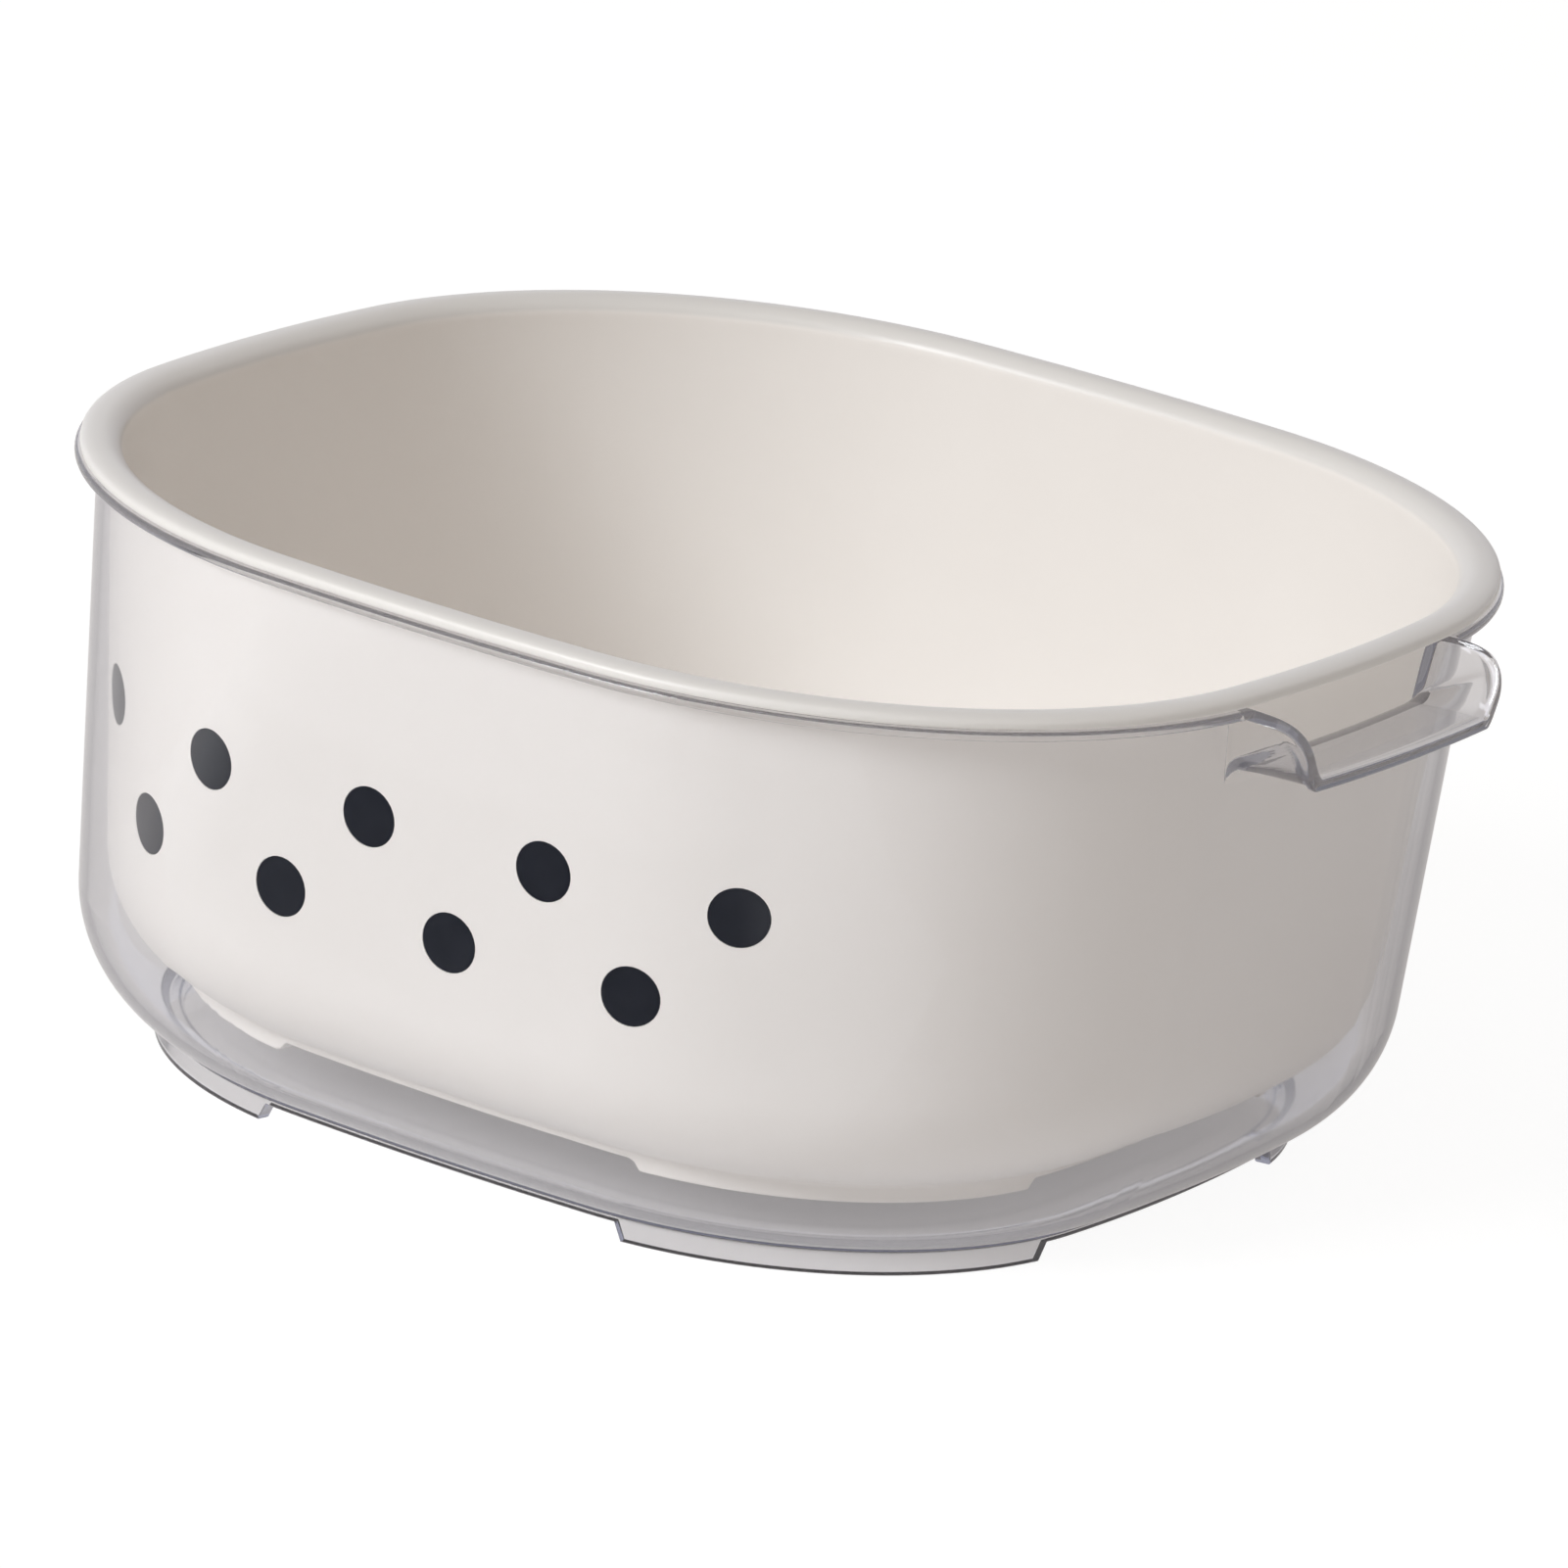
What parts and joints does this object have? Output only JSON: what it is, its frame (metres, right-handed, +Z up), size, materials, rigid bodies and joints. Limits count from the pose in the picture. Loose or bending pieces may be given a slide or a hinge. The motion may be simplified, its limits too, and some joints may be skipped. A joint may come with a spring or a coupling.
{
  "type": "double layer colander",
  "caption": "Rounded-square opaque drain basket with dark dot inlays, nested by its rim in a clear catch bowl with a scoop handle and notched feet.",
  "frame": {"origin": "middle of the part at the level of the bowl's feet", "axes": "+Z up out of the basket, +X towards the scoop handle, the dots are on the -Y side"},
  "size_m": [0.251, 0.2348, 0.1102],
  "materials": {
    "clear_plastic": "clear, glossy",
    "cream_plastic": "opaque cream, satin gloss",
    "dark_plastic": "dark navy, satin"
  },
  "bodies": {
    "outer_bowl": {"outer_bowl": "clear_plastic"},
    "inner_basket": {"inner_basket": "cream_plastic", "dot_inlay_1": "dark_plastic", "dot_inlay_2": "dark_plastic", "dot_inlay_3": "dark_plastic", "dot_inlay_4": "dark_plastic", "dot_inlay_5": "dark_plastic", "dot_inlay_6": "dark_plastic", "dot_inlay_7": "dark_plastic", "dot_inlay_8": "dark_plastic", "dot_inlay_9": "dark_plastic"}
  },
  "joints": [
    {"name": "basket_lift", "type": "slide", "parent": "outer_bowl", "child": "inner_basket", "axis": [0, 0, 1], "range_m": [0, 0.13]}
  ]
}
